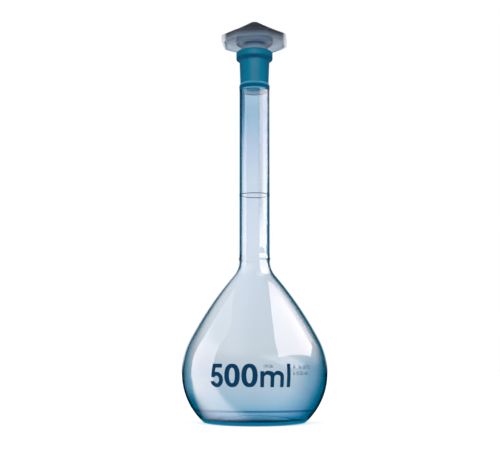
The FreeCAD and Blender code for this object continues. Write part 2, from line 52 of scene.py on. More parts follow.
class Wire:
    # one socket of a node tree; sums and products of wires add their own Math nodes
    def __init__(self, tree, node=None, output=0):
        self.tree = tree
        self.node = node
        outputs = () if node is None else node.outputs
        self.socket = outputs[output] if outputs else None

    def add(self, kind, sockets=None, **settings):
        node = self.tree.nodes.new("ShaderNode" + kind)
        for name, value in settings.items():
            setattr(node, name, value)
        for name, value in (sockets or {}).items():
            if isinstance(value, Wire):
                self.tree.links.new(value.socket, node.inputs[name])
            else:
                node.inputs[name].default_value = value
        return Wire(self.tree, node)

    def out(self, name):
        return Wire(self.tree, self.node, name)

    def math(self, operation, first, second):
        return self.add("Math", {0: first, 1: second}, operation=operation)

    def __add__(self, other):
        return self.math("ADD", self, other)

    def __radd__(self, other):
        return self.math("ADD", other, self)

    def __sub__(self, other):
        return self.math("SUBTRACT", self, other)

    def __rsub__(self, other):
        return self.math("SUBTRACT", other, self)

    def __mul__(self, other):
        return self.math("MULTIPLY", self, other)

    def __pow__(self, other):
        return self.math("POWER", self, other)

    def __gt__(self, other):
        return self.math("GREATER_THAN", self, other)

    def __lt__(self, other):
        return self.math("LESS_THAN", self, other)

    def smooth(self, value, limits, level=0.0):
        # rises from 0 to 1 between two limits, counted from a level
        span = {"Value": value, "From Min": level + limits[0], "From Max": level + limits[1]}
        return self.add("MapRange", span, interpolation_type="SMOOTHSTEP")

    def band(self, value, limits, level=0.0):
        # 1 between two limits, counted from a level; the third number is how softly it ends
        low, high, soft = level + limits[0], level + limits[1], limits[2]
        risen = self.smooth(value, (low - soft, low + soft))
        return risen * (1 - self.smooth(value, (high - soft, high + soft)))

    def mixColour(self, factor, first, second):
        return self.add("Mix", {"Factor": factor, 6: first, 7: second}, data_type="RGBA").out(2)

    def ramp(self, level, shades):
        # shades are pairs: a place from 0 to 1, and the colour there
        mixed = self.add("ValToRGB", {"Fac": level})
        stops = mixed.node.color_ramp.elements
        while len(stops) < len(shades):
            stops.new(1)
        for stop, (place, shade) in zip(stops, shades):
            stop.position = place
            stop.color = colour(*shade)
        return mixed

    def place(self):
        return self.add("TexCoord").out("Object")

    def axes(self, vector):
        split = self.add("SeparateXYZ", {0: vector})
        return [split.out(name) for name in "XYZ"]

    def facing(self):
        # 0 where a surface faces the viewer, up to 1 where it turns away
        return self.add("LayerWeight", {"Blend": 0.5}).out("Facing")

    def noise(self, place, scale, detail):
        return self.add("TexNoise", {"Vector": place, "Scale": scale, "Detail": detail})

    def bump(self, height, strength, depth):
        return self.add("Bump", {"Strength": strength, "Distance": depth, "Height": height})


def hypotenuse(first, second):
    return (first * first + second * second) ** 0.5


def newFinish(name):
    finish = bpy.data.materials.new(name)
    finish.use_nodes = True
    finish.node_tree.nodes.clear()
    return finish, Wire(finish.node_tree)


def colour(red, green, blue):
    # a colour as it is read off a screen, 0 to 255, for a shader socket
    linear = [((c / 255 + 0.055) / 1.055) ** 2.4 if c > 10 else c / 255 / 12.92 for c in (red, green, blue)]
    return (*linear, 1)


# camera
viewpoint = {
    "height": 37.0 * mm,
    "distance": 695.8 * mm,
    "aside": -3.2 * mm,
    "pitchUp": 8.138,
    "lens": 72,
    "sensor": 36,
}
lensData = bpy.data.cameras.new("viewpoint")
lensData.lens = viewpoint["lens"]
lensData.sensor_width = viewpoint["sensor"]
camera = bpy.data.objects.new("viewpoint", lensData)
camera.location = (viewpoint["aside"], -viewpoint["distance"], viewpoint["height"])
camera.rotation_euler = (math.radians(90 + viewpoint["pitchUp"]), 0, 0)
scene.collection.objects.link(camera)
scene.camera = camera
scene.view_settings.view_transform = "Standard"


def toward(start, end, distance):
    span = math.dist(start, end)
    return tuple(a + (b - a) * distance / span for a, b in zip(start, end))


def circlesMeet(centre, radius, other, otherRadius):
    # where two circles cross, to the left of the way from centre to other
    span = math.dist(centre, other)
    along = (span**2 + radius**2 - otherRadius**2) / (2 * span)
    off = math.sqrt(radius**2 - along**2)
    east = ((other[0] - centre[0]) / span, (other[1] - centre[1]) / span)
    return (centre[0] + along * east[0] - off * east[1], centre[1] + along * east[1] + off * east[0])


def onCircle(centre, radius, angle):
    return (centre[0] + radius * math.cos(angle), centre[1] + radius * math.sin(angle))


def arc(centre, start, end, step=1.5 * mm):
    # the points of the short arc from start to end, at most a step apart, without its first one
    radius = math.dist(centre, start)
    first = math.atan2(start[1] - centre[1], start[0] - centre[0])
    last = math.atan2(end[1] - centre[1], end[0] - centre[0])
    sweep = (last - first + math.pi) % (2 * math.pi) - math.pi
    count = max(4, math.ceil(abs(sweep) * radius / step), math.ceil(abs(sweep) / math.radians(8)))
    return [onCircle(centre, radius, first + sweep * (i + 1) / count) for i in range(count)]


def run(start, end, step):
    # the points of a straight line, as in an arc
    count = max(1, math.ceil(math.dist(start, end) / step))
    return [toward(start, end, math.dist(start, end) * (i + 1) / count) for i in range(count)]


def pieceFrom(name, made):
    bmesh.ops.recalc_face_normals(made, faces=made.faces)
    mesh = bpy.data.meshes.new(name)
    made.to_mesh(mesh)
    made.free()
    piece = bpy.data.objects.new(name, mesh)
    scene.collection.objects.link(piece)
    return piece


def turned(name, outline, around, ratio=lambda angle, point: 1.0):
    # a closed body turned about Z: its outline starts and ends on the axis, or closes as a ring
    made = bmesh.new()
    rings = []
    for point in outline:
        if point[0] < tiny:
            rings.append([made.verts.new((0, 0, point[1]))])
            continue
        ring = []
        for i in range(around):
            angle = 2 * math.pi * i / around
            reach = point[0] * ratio(angle, point)
            ring.append(made.verts.new((reach * math.cos(angle), reach * math.sin(angle), point[1])))
        rings.append(ring)
    following = rings[1:] if len(rings[0]) == 1 else rings[1:] + rings[:1]
    for lower, upper in zip(rings, following):
        for i in range(around):
            j = (i + 1) % around
            corners = [lower[i % len(lower)], lower[j % len(lower)]]
            corners += [upper[j % len(upper)], upper[i % len(upper)]]
            made.faces.new(list(dict.fromkeys(corners)))
    piece = pieceFrom(name, made)
    piece.data.shade_smooth()
    piece.data.set_sharp_from_angle(angle=sharpAngle)
    return piece


# the glass: bulb and neck as one blown wall, and the ground socket sealed onto it
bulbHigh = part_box("bulb")[1]
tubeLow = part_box("neck_tube")[0]
socketLow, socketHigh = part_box("ground_socket")
glass = {
    "bulbRadius": bulbHigh.x,
    "sealHeight": tubeLow.z,
    "socketFoot": socketLow.z,
    "rimTop": socketHigh.z,
    "rimRadius": socketHigh.x,
    "bellyHeight": 33.8 * mm,
    "bellyArc": 49.4 * mm,
    "shoulderArc": 233.0 * mm,
    "flareArc": 16.0 * mm,
    "standingRadius": 33.3 * mm,
    "ringWidth": 7.0 * mm,
    "heelArc": 3.0 * mm,
    "innerHeelArc": 7.0 * mm,
    "puntRise": 3.0 * mm,
    "floorThickness": 1.7 * mm,
    "bulbWall": 1.2 * mm,
    "neckRadius": 10.7 * mm,
    "neckWall": 1.4 * mm,
    "sealHalf": 1.2 * mm,
    "sealProud": 0.35 * mm,
    "throatHeight": 3.0 * mm,
    "throatWall": 2.8 * mm,
    "sealGap": 0.02 * mm,  # keeps the two glass pieces from sharing a face
    "socketBore": 9.4 * mm,
    "socketTaper": 10.0,
    "waistHeight": 2.5 * mm,
    "waistWall": 1.875 * mm,
    "socketWall": 1.65 * mm,
    "rimHeight": 4.9 * mm,
    "rimBend": 1.0 * mm,
    "footArc": 1.1 * mm,
    "ledgeDrop": 0.3 * mm,
    "lipArc": 1.3 * mm,
    "mouthChamfer": 0.4 * mm,
    "around": 160,
}


def bulbSide(g, inset, neckInset):
    # one face of the bulb from its widest place up to the neck, as three arcs
    flareHeight = g["sealHeight"] - g["sealHalf"]
    neck = g["neckRadius"] - neckInset
    widest = (g["bulbRadius"] - inset, g["bellyHeight"])
    bellyRadius = g["bellyArc"] - inset
    shoulderRadius = g["shoulderArc"] - inset
    flareRadius = g["flareArc"] + neckInset
    bellyCentre = (widest[0] - bellyRadius, widest[1])
    flareCentre = (neck + flareRadius, flareHeight)
    shoulderCentre = circlesMeet(
        bellyCentre, shoulderRadius - bellyRadius, flareCentre, shoulderRadius + flareRadius)
    bellyEnd = toward(shoulderCentre, bellyCentre, shoulderRadius)
    flareStart = toward(flareCentre, shoulderCentre, flareRadius)
    return (
        arc(bellyCentre, widest, bellyEnd)
        + arc(shoulderCentre, bellyEnd, flareStart)
        + arc(flareCentre, flareStart, (neck, flareHeight)))


def underCentre(g):
    # centre of the arc that runs from the widest place smoothly into the heel
    inward = g["bulbRadius"] - g["standingRadius"]
    down = g["bellyHeight"] - g["heelArc"]
    radius = (inward**2 + down**2 - g["heelArc"]**2) / (2 * (inward - g["heelArc"]))
    return (g["bulbRadius"] - radius, g["bellyHeight"])


def puntRadius(g):
    inside = g["standingRadius"] - g["ringWidth"]
    return (inside**2 + g["puntRise"]**2) / (2 * g["puntRise"])


def boreAt(g, height):
    return g["socketBore"] - (g["rimTop"] - height) / (2 * g["socketTaper"])


def bodyOutline(g):
    # the underside, out to the heel and up to the widest place
    puntTop = (0.0, g["puntRise"])
    ringInside = (g["standingRadius"] - g["ringWidth"], 0.0)
    ringOutside = (g["standingRadius"], 0.0)
    puntCentre = (0.0, puntTop[1] - puntRadius(g))
    heelCentre = (g["standingRadius"], g["heelArc"])
    lowerCentre = underCentre(g)
    lowerRadius = g["bulbRadius"] - lowerCentre[0]
    heelTop = toward(lowerCentre, heelCentre, lowerRadius)
    widest = (g["bulbRadius"], g["bellyHeight"])
    points = [puntTop] + arc(puntCentre, puntTop, ringInside) + run(ringInside, ringOutside, 1.5 * mm)
    points += arc(heelCentre, ringOutside, heelTop, 0.4 * mm) + arc(lowerCentre, heelTop, widest)

    # the bulb's side, the bead of the seal and the plain neck
    points += bulbSide(g, 0, 0)
    beadRadius = (g["sealHalf"]**2 + g["sealProud"]**2) / (2 * g["sealProud"])
    beadCentre = (g["neckRadius"] + g["sealProud"] - beadRadius, g["sealHeight"])
    beadEnd = (g["neckRadius"], g["sealHeight"] + g["sealHalf"])
    throatFoot = (g["neckRadius"], g["socketFoot"] - g["throatHeight"])
    points += arc(beadCentre, points[-1], beadEnd, 0.25 * mm) + run(beadEnd, throatFoot, 2.5 * mm)

    # back down the inside: the neck, the bulb and its floor
    bore = g["neckRadius"] - g["neckWall"]
    innerUp = bulbSide(g, g["bulbWall"], g["neckWall"])
    innerWidest = (g["bulbRadius"] - g["bulbWall"], g["bellyHeight"])
    innerRadius = lowerRadius - g["bulbWall"]
    floorRadius = puntRadius(g) + g["floorThickness"]
    cornerCentre = circlesMeet(
        lowerCentre, innerRadius - g["innerHeelArc"], puntCentre, floorRadius + g["innerHeelArc"])
    cornerTop = toward(lowerCentre, cornerCentre, innerRadius)
    cornerFoot = toward(puntCentre, cornerCentre, floorRadius)
    points += [(bore, throatFoot[1])] + run((bore, throatFoot[1]), innerUp[-1], 2.5 * mm)
    points += innerUp[-2::-1] + [innerWidest]
    points += arc(lowerCentre, innerWidest, cornerTop) + arc(cornerCentre, cornerTop, cornerFoot, 0.6 * mm)
    return points + arc(puntCentre, cornerFoot, (0.0, puntTop[1] + g["floorThickness"]))


def socketOutline(g):
    # the throat over the neck, the shoulder, waist, side and the thick rim
    throat = g["socketFoot"] - g["throatHeight"] + g["sealGap"]
    footBore = boreAt(g, g["socketFoot"])
    shoulder = (footBore + g["throatWall"], g["socketFoot"])
    waistLevel = g["socketFoot"] + g["waistHeight"]
    waist = (boreAt(g, waistLevel) + g["waistWall"], waistLevel)
    waistStep = shoulder[0] - waist[0]
    waistRadius = (waistStep**2 + g["waistHeight"]**2) / (2 * waistStep)
    bendLevel = g["rimTop"] - g["rimHeight"]
    ledgeLevel = bendLevel - g["rimBend"] - g["footArc"] - g["ledgeDrop"]
    ledgeFoot = (boreAt(g, ledgeLevel) + g["socketWall"], ledgeLevel)
    footCentre = (ledgeFoot[0] + g["footArc"], ledgeLevel)
    bendCentre = (g["rimRadius"] - g["rimBend"], bendLevel)
    span = math.dist(footCentre, bendCentre)
    lean = math.acos((g["footArc"] + g["rimBend"]) / span)
    touch = math.atan2(bendCentre[1] - footCentre[1], bendCentre[0] - footCentre[0]) + lean
    ledgeStart = onCircle(footCentre, g["footArc"], touch)
    ledgeEnd = onCircle(bendCentre, -g["rimBend"], touch)
    rimFoot = (g["rimRadius"], bendLevel)
    lipFoot = (g["rimRadius"], g["rimTop"] - g["lipArc"])
    lipCentre = (g["rimRadius"] - g["lipArc"], lipFoot[1])
    lipTop = (lipCentre[0], g["rimTop"])
    mouth = (g["socketBore"] + g["mouthChamfer"], g["rimTop"])
    mouthFoot = (boreAt(g, g["rimTop"] - g["mouthChamfer"]), g["rimTop"] - g["mouthChamfer"])
    points = [(g["neckRadius"], throat)] + run((g["neckRadius"], throat), shoulder, 0.5 * mm)
    points += arc((shoulder[0] - waistRadius, shoulder[1]), shoulder, waist, 0.3 * mm)
    points += run(waist, ledgeFoot, 2 * mm) + arc(footCentre, ledgeFoot, ledgeStart, 0.2 * mm) + [ledgeEnd]
    points += arc(bendCentre, ledgeEnd, rimFoot, 0.2 * mm) + run(rimFoot, lipFoot, 1.5 * mm)
    points += arc(lipCentre, lipFoot, lipTop, 0.2 * mm) + [mouth]

    # and the ground bore inside it, down to the neck's bore
    points += [mouthFoot] + run(mouthFoot, (footBore, g["socketFoot"]), 2 * mm)
    return points + run(points[-1], (g["neckRadius"] - g["neckWall"], throat), 1 * mm)


flaskGlass = turned("flask_glass", bodyOutline(glass), glass["around"])
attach(flaskGlass, "flask")
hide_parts("bulb", "neck_tube")
socketGlass = turned("socket_glass", socketOutline(glass), glass["around"])
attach(socketGlass, "flask")
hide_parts("ground_socket")
print("glass turned:", len(flaskGlass.data.vertices) + len(socketGlass.data.vertices), "points")

# in the finishes a Turn is how far a surface turns away, from where a shade starts to where it is full
glassFinish = {
    "tints": (  # height on the flask in mm, and the glass's tint there: bluer and darker at the foot and up the neck, partly for thicker glass and partly painted shade
        (0, (96, 166, 200)),
        (1.8, (110, 176, 208)),
        (3, (160, 208, 230)),
        (6, (170, 212, 232)),
        (10, (203, 226, 238)),
        (21, (221, 232, 241)),
        (48, (239, 241, 244)),
        (125, (249, 250, 255)),
        (172, (241, 246, 252)),
        (194, (232, 238, 250)),
        (217, (212, 230, 242)),
        (233, (224, 236, 246)),
    ),
    "neckFrom": (105 * mm, 116 * mm),
    "throatFrom": (180 * mm, 232 * mm),
    "aside": (5 * mm, 9 * mm),  # where the left and right sides start, from the middle
    "farAside": (9 * mm, 10 * mm),
    "neckShade": colour(210, 220, 231),  # painted shade on the neck right of its middle, where the window is reflected
    "neckShadeAside": (3.4 * mm, 5.8 * mm, 0.8 * mm),
    "neckShadeFrom": (128 * mm, 156 * mm),
    "lowerRightShade": colour(160, 200, 222),  # painted shade on the lower right of the bulb
    "lowerRightShadeTurn": (0.12, 0.4),
    "lowerRightShadeAside": (5 * mm, 30 * mm),
    "lowerRightShadeBand": (4 * mm, 42 * mm, 8 * mm),
    "edge": colour(0, 160, 196),
    "edgeTurn": (0.45, 0.80),
    "outline": colour(0, 84, 112),  # painted dark outline on the last of the edge on the right
    "outlineTurn": (0.86, 0.97),
    "litLeftEdge": colour(140, 214, 236),  # painted light: paler edges on the left of the bulb, and of the neck
    "litLeftNeckEdge": colour(84, 170, 204),
    "softFrom": (14 * mm, 26 * mm),
    "heelUpTo": (12 * mm, 50 * mm),  # the wall thickens towards the heel
    "heelGain": 0.15,
    "stemGain": 0.14,
    "throatGain": 0.45,
    "shoulderEase": 0.18,
    "shoulderBand": (50 * mm, 105 * mm, 15 * mm),
    "shoulderTurn": (0.7, 0.9),
    "heelShadeLine": colour(0, 30, 56),  # painted dark line at the heavy corner of the heel
    "heelBand": (2.1 * mm, 3.7 * mm, 0.5 * mm),
    "floorShadeLine": colour(40, 100, 135),  # painted dark line where the wall thickens inside
    "floorBand": (8.6 * mm, 10.0 * mm, 0.4 * mm),
    "puntHaze": 0.45,
    "ior": 1.47,
    "absorbed": (0.0, 0.5, 0.733, 1),
    "density": 60.0,
}


def clearGlass(look, g):
    finish, wire = newFinish("clear_glass")
    x, y, z = wire.axes(wire.place())
    reach = hypotenuse(x, y)
    facing = wire.facing()
    inward = wire.add("NewGeometry").out("Backfacing")

    # where the lower bulb's outside, the hollow underneath, the neck, its throat and the sides are
    hub, hubHeight = underCentre(g)
    outer = hypotenuse(reach - hub, z - hubHeight) > g["bulbRadius"] - hub - g["bulbWall"] / 2
    dome = z + reach * reach * (0.5 / puntRadius(g))
    punt = (dome < g["puntRise"] + g["floorThickness"] / 2) * (reach < g["standingRadius"] - g["ringWidth"])
    neck = wire.smooth(z, look["neckFrom"])
    throat = wire.smooth(z, look["throatFrom"])
    left = wire.smooth(x * -1, look["aside"])
    right = wire.smooth(x, look["farAside"])

    # the tint of the wall, with painted shade on the neck right of its middle and on the lower right
    tints = [(height * mm / g["rimTop"], shade) for height, shade in look["tints"]]
    body = wire.ramp(z * (1 / g["rimTop"]), tints)
    neckShade = wire.band(x, look["neckShadeAside"]) * wire.smooth(z, look["neckShadeFrom"])
    body = wire.mixColour(neckShade, body, look["neckShade"])
    lowerRightShade = wire.smooth(facing, look["lowerRightShadeTurn"]) * wire.smooth(x, look["lowerRightShadeAside"])
    body = wire.mixColour(lowerRightShade * wire.band(z, look["lowerRightShadeBand"]), body, look["lowerRightShade"])

    # and of its edges, darker where more glass is looked through and as painted shade, with painted light on
    # the left
    outline = wire.smooth(facing, look["outlineTurn"]) * wire.smooth(x, look["aside"])
    edge = wire.mixColour(outline, look["edge"], look["outline"])
    soft = wire.mixColour(neck, look["litLeftEdge"], look["litLeftNeckEdge"])
    edge = wire.mixColour(left * (1 - throat) * wire.smooth(z, look["softFrom"]), edge, soft)
    heavy = 1 - wire.smooth(z, look["heelUpTo"])
    gain = throat * look["throatGain"]
    stem = (left * (gain + look["stemGain"]) + right * gain) * neck
    ease = wire.band(z, look["shoulderBand"]) * (1 - wire.smooth(facing, look["shoulderTurn"]))
    thick = facing + heavy * look["heelGain"] + stem - ease * look["shoulderEase"]
    tint = wire.mixColour(wire.smooth(thick, look["edgeTurn"]), body, edge)
    # painted dark lines at the heel outside and where the wall thickens inside
    tint = wire.mixColour(wire.band(z, look["heelBand"]) * outer * (1 - inward), tint, look["heelShadeLine"])
    tint = wire.mixColour(wire.band(z, look["floorBand"]) * inward * (1 - outer), tint, look["floorShadeLine"])
    surface = wire.add("BsdfPrincipled", {
        "Base Color": tint,
        "Roughness": punt * look["puntHaze"],
        "IOR": look["ior"],
        "Transmission Weight": 1.0,
    })
    inside = wire.add("VolumeAbsorption", {"Color": look["absorbed"], "Density": look["density"]})
    wire.add("OutputMaterial", {"Surface": surface, "Volume": inside})
    return finish


flaskGlass.data.materials.append(clearGlass(glassFinish, glass))

groundFinish = {
    "across": (  # how far the surface turns away, and its shade there
        (0.00, (80, 146, 186)),
        (0.025, (64, 143, 181)),
        (0.07, (22, 138, 174)),
        (0.12, (0, 134, 170)),
        (0.45, (0, 108, 152)),
        (0.80, (0, 98, 142)),
    ),
    "fold": colour(0, 76, 116),  # painted shade in the step where the rim steps in, where the glass is also thick
    "foldBand": (-2.3 * mm, 0.5 * mm, 0.8 * mm),
    "seam": 1.8 * mm,  # over the socket's foot; the ring, crease and throat are counted from it
    "pale": colour(80, 204, 238),  # painted highlight: a thin pale ring at the seam
    "paleBand": (-0.8 * mm, 0.6 * mm, 0.4 * mm),
    "paleTurn": (0.0, 0.12),
    "paleShare": 0.8,
    "crease": colour(0, 80, 122),  # painted shade in the crease under that ring
    "creaseTop": (-1.8 * mm, -1.2 * mm),
    "throat": colour(92, 206, 244),  # and down to the neck
    "throatTop": (-4.3 * mm, -3.5 * mm),
    "throatTurn": (0.2, 0.45),
    "inside": colour(226, 238, 246),
    "insideReach": 9.75 * mm,
    "grain": (1500.0, 3.0),  # scale and detail
    "bump": (0.1, 0.02 * mm),  # strength and depth
    "roughness": 0.36,
    "grainRoughness": 0.1,
    "ior": 1.2,
    "through": 0.5,
}


def groundGlass(look, g):
    finish, wire = newFinish("ground_glass")
    place = wire.place()
    x, y, z = wire.axes(place)
    grain = wire.noise(place, *look["grain"])
    facing = wire.facing()
    body = wire.ramp(facing, look["across"])
    fold = wire.band(z, look["foldBand"], g["rimTop"] - g["rimHeight"])
    body = wire.mixColour(fold, body, look["fold"])
    seam = g["socketFoot"] + look["seam"]
    ring = wire.band(z, look["paleBand"], seam) * wire.smooth(facing, look["paleTurn"])
    body = wire.mixColour(ring * look["paleShare"], body, look["pale"])
    body = wire.mixColour(1 - wire.smooth(z, look["creaseTop"], seam), body, look["crease"])
    throat = (1 - wire.smooth(z, look["throatTop"], seam)) * (1 - wire.smooth(facing, look["throatTurn"]))
    body = wire.mixColour(throat, body, look["throat"])
    bore = hypotenuse(x, y) < look["insideReach"]
    behind = wire.add("NewGeometry").out("Backfacing")
    body = wire.mixColour(wire.math("MAXIMUM", bore, behind), body, look["inside"])
    surface = wire.add("BsdfPrincipled", {
        "Base Color": body,
        "Roughness": look["roughness"] + grain * look["grainRoughness"],
        "IOR": look["ior"],
        "Specular IOR Level": 0.0,
        "Transmission Weight": look["through"],
        "Normal": wire.bump(grain, *look["bump"]),
    })
    wire.add("OutputMaterial", {"Surface": surface})
    return finish


socketGlass.data.materials.append(groundGlass(groundFinish, glass))


# the fired enamel: the ring mark, and the capacity and small print on the bulb
enamel = {
    "blue": colour(0, 56, 92),
    "paler": colour(0, 74, 112),
    "palerShare": 0.35,
    "grain": (2500.0, 3.0),
    "bump": (0.25, 0.02 * mm),
    "roughness": 0.45,
    "grainRoughness": 0.2,
    "specular": 0.05,
}


def firedEnamel(look):
    finish, wire = newFinish("blue_enamel")
    grain = wire.noise(wire.place(), *look["grain"])
    surface = wire.add("BsdfPrincipled", {
        "Base Color": wire.mixColour(grain * look["palerShare"], look["blue"], look["paler"]),
        "Roughness": look["roughness"] + grain * look["grainRoughness"],
        "Specular IOR Level": look["specular"],
        "Normal": wire.bump(grain, *look["bump"]),
    })
    wire.add("OutputMaterial", {"Surface": surface})
    return finish


enamelFinish = firedEnamel(enamel)
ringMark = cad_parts["ring_mark"]
ringMark.data.materials.clear()
ringMark.data.materials.append(enamelFinish)

capacity = {
    "tall": 15.0 * mm,
    "cap": 2.6 * mm,  # strokes at top and foot
    "wide": 10.5 * mm,  # width of a nought, and its strokes at the sides
    "side": 3.3 * mm,
    "fullness": (0.86, 0.9),  # of its outside and inside
    "flag": (1.75 * mm, 8.7 * mm, 4.0 * mm),  # the five's left, right and inside
    "bowl": (4.65 * mm, 4.85 * mm),  # middle of its bowl
    "bowlReach": (4.85 * mm, 4.95 * mm),
    "bowlSweep": (104, -166),
    "hollowReach": (1.95 * mm, 2.4 * mm),
    "hollowSweep": (-160, 146),
    "hook": (0.55 * mm, 6.5 * mm),
    "stem": 2.5 * mm,
    "small": 10.2 * mm,  # height of the m
    "pitch": 6.6 * mm,  # from stem to stem of it
    "archStart": 1.5 * mm,  # under its top
    "archEnds": (1.5 * mm, 3.4 * mm),
    "archPeak": (2.3 * mm, 0.3 * mm),
    "counterDrop": 4.0 * mm,
    "counterRise": 1.7 * mm,
    "starts": (-30.7 * mm, -20.3 * mm, -8.8 * mm, 3.4 * mm, 21.3 * mm),  # along the bulb, from its front
    "baseline": 24.8 * mm,
    "clear": 0.015 * mm,
    "thickness": 0.05 * mm,
    "slice": 1.2 * mm,
}


def bow(centre, reach, first, last, fullness=1.0):
    # part of an ellipse between two angles; a fullness under 1 squares it
    count = max(4, math.ceil(abs(last - first) / 9))
    angles = [math.radians(first + (last - first) * i / count) for i in range(count + 1)]
    bend = [(math.cos(a), math.sin(a)) for a in angles]
    return [(centre[0] + reach[0] * math.copysign(abs(c) ** fullness, c),
             centre[1] + reach[1] * math.copysign(abs(s) ** fullness, s)) for c, s in bend]


def nought(c):
    middle = (c["wide"] / 2, c["tall"] / 2)
    hollow = (c["wide"] / 2 - c["side"], c["tall"] / 2 - c["cap"])
    outer = bow(middle, middle, 0, 360, c["fullness"][0])[:-1]
    inner = bow(middle, hollow, 360, 0, c["fullness"][1])[:-1]
    return [outer, inner]


def five(c):
    top = c["tall"]
    bar = top - c["cap"]
    left, right, inside = c["flag"]
    flag = [(left, top), (right, top), (right, bar), (inside, bar)]
    outer = bow(c["bowl"], c["bowlReach"], *c["bowlSweep"])
    inner = bow(c["bowl"], c["hollowReach"], *c["hollowSweep"])
    return [flag + outer + inner + [c["hook"]]]


def em(c):
    top, stem, pitch = c["small"], c["stem"], c["pitch"]
    counter = pitch - stem
    outline = [(0, 0), (0, top), (stem, top)]
    for k in (0, 1):  # two arches, each from the shoulder of a stem to the next
        start = (k * pitch + stem, top - c["archStart"])
        peak = (start[0] + c["archPeak"][0], top + c["archPeak"][1])
        end = ((k + 1) * pitch + stem, top - c["archEnds"][k])
        outline += bow((peak[0], start[1]), (peak[0] - start[0], peak[1] - start[1]), 180, 90)[:-1]
        outline += bow((peak[0], end[1]), (end[0] - peak[0], peak[1] - end[1]), 90, 0)
    outline.append((2 * pitch + stem, 0))
    for k in (1, 0):  # back along the foot, up and down inside each arch
        right = (k + 1) * pitch
        outline += [(right, 0)]
        outline += bow((right - counter / 2, top - c["counterDrop"]), (counter / 2, c["counterRise"]), 0, 180)
        outline += [(k * pitch + stem, 0)]
    return [list(dict.fromkeys(outline))]


def ell(c):
    return [[(0, 0), (0, c["tall"]), (c["stem"], c["tall"]), (c["stem"], 0)]]


def bulbReach(g, height):
    # outside radius of the bulb near its widest place
    if height < g["bellyHeight"]:
        centre = underCentre(g)
        radius = g["bulbRadius"] - centre[0]
    else:
        radius = g["bellyArc"]
        centre = (g["bulbRadius"] - radius, g["bellyHeight"])
    return centre[0] + math.sqrt(radius**2 - (height - centre[1])**2)


def sliced(made, low, high, axis, step):
    for i in range(1, math.ceil((high - low) / step)):
        point, normal = Vector(), Vector()
        point[axis] = low + i * step
        normal[axis] = 1
        everything = made.verts[:] + made.edges[:] + made.faces[:]
        bmesh.ops.bisect_plane(made, geom=everything, plane_co=point, plane_no=normal, dist=tiny)


def wrapped(name, made, c, g):
    # flat lettering, in metres along the bulb and up from the foot, laid on the bulb as a thin closed layer
    xs = [v.co.x for v in made.verts]
    ys = [v.co.y for v in made.verts]
    sliced(made, min(xs), max(xs), 0, c["slice"])
    sliced(made, min(ys), max(ys), 1, c["slice"])
    bmesh.ops.recalc_face_normals(made, faces=made.faces)
    bmesh.ops.solidify(made, geom=made.faces[:], thickness=c["thickness"])
    deepest = min(v.co.z for v in made.verts)
    for v in made.verts:
        reach = bulbReach(g, v.co.y) + c["clear"] + v.co.z - deepest
        angle = v.co.x / g["bulbRadius"]
        v.co = (reach * math.sin(angle), -reach * math.cos(angle), v.co.y)
    piece = pieceFrom(name, made)
    piece.data.materials.append(enamelFinish)
    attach(piece, "flask")
    print(name, "printed:", len(piece.data.polygons), "faces")


def bigFigures(c):
    made = bmesh.new()
    for start, glyph in zip(c["starts"], (five, nought, nought, em, ell)):
        loops = [[Vector((start + x, c["baseline"] + y, 0)) for x, y in loop] for loop in glyph(c)]
        corners = [made.verts.new(point) for loop in loops for point in loop]
        for triangle in tessellate_polygon(loops):
            made.faces.new([corners[i] for i in triangle])
    return made


wrapped("capacity_print", bigFigures(capacity), capacity, glass)

smallPrint = {
    "lines": (  # words, start along the bulb, baseline, height
        ("19/26", 5.2 * mm, 37.2 * mm, 2.1 * mm),
        ("A   In 20\u00b0C", 25.6 * mm, 36.6 * mm, 2.3 * mm),
        ("\u00b1 0.25 ml", 25.6 * mm, 32.6 * mm, 2.3 * mm),
    ),
    "capShare": 0.73,  # height of a capital in the built-in lettering
    "curveSteps": 3,
    "weld": 1e-6,
    "clear": 0.015 * mm,
    "thickness": 0.04 * mm,
    "slice": 1.5 * mm,
}


def smallFigures(p):
    made = bmesh.new()
    for words, start, baseline, height in p["lines"]:
        letters = bpy.data.curves.new("small_letters", "FONT")
        letters.body = words
        letters.size = height / p["capShare"]
        letters.resolution_u = p["curveSteps"]
        holder = bpy.data.objects.new("small_letters", letters)
        scene.collection.objects.link(holder)
        drawn = holder.evaluated_get(bpy.context.evaluated_depsgraph_get())
        flat = bpy.data.meshes.new_from_object(drawn)
        flat.transform(Matrix.Translation((start, baseline, 0)))
        made.from_mesh(flat)
        bpy.data.objects.remove(holder)
        bpy.data.meshes.remove(flat)
    bmesh.ops.remove_doubles(made, verts=made.verts, dist=p["weld"])
    return made


wrapped("small_print", smallFigures(smallPrint), smallPrint, glass)


# the moulded stopper: an eight-sided shell over a hollow plug
stopper = {
    "sides": 8,
    "turn": 39.5,
    "cornerRound": 34,
    "plugGap": 0.05 * mm,
    "plugOver": 1.0 * mm,
    "plugWall": 1.4 * mm,
    "plugBevel": 0.6 * mm,
    "collarGap": 6.2 * mm,
    "collarStep": 3.4 * mm,
    "headGap": 5.85 * mm,
    "headFlats": 46.2 * mm,
    "headDraft": 4.0,
    "gripHeight": 4.6 * mm,
    "roofRise": 11.55 * mm,
    "roofArc": 220.0 * mm,
    "crownRadius": 2.9 * mm,
    "headWall": 1.8 * mm,
    "edgeRound": 0.9 * mm,
    "edgeSegments": 3,
    "edgeAngle": 38,
    "ceilingSteps": 8,
    "domeSteps": 6,
    "around": 192,
}


